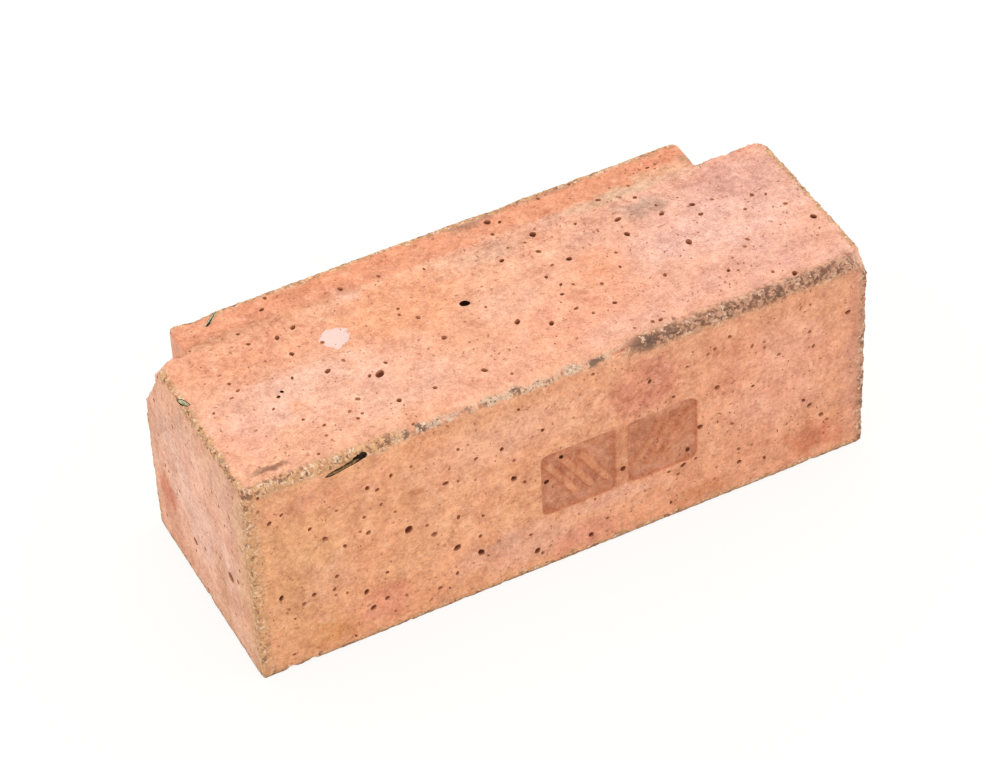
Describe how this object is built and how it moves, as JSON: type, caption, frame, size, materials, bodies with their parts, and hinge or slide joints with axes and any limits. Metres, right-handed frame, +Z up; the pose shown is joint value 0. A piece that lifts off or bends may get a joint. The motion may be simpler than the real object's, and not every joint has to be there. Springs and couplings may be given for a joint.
{
  "type": "clay brick",
  "caption": "Fired clay brick of nearly square section, with a notch at each end of its back top edge and a sunk panel on its front face.",
  "frame": {"origin": "middle of the bed face, which the brick lies on", "axes": "+X along the brick, with the stamped front face towards -Y and the lug at the back; +Z up from the bed"},
  "size_m": [0.242, 0.089, 0.09],
  "materials": {
    "fired_clay": "matt fired clay, porous, sandy at the arrises"
  },
  "bodies": {
    "root": {"brick": "fired_clay"}
  },
  "joints": []
}
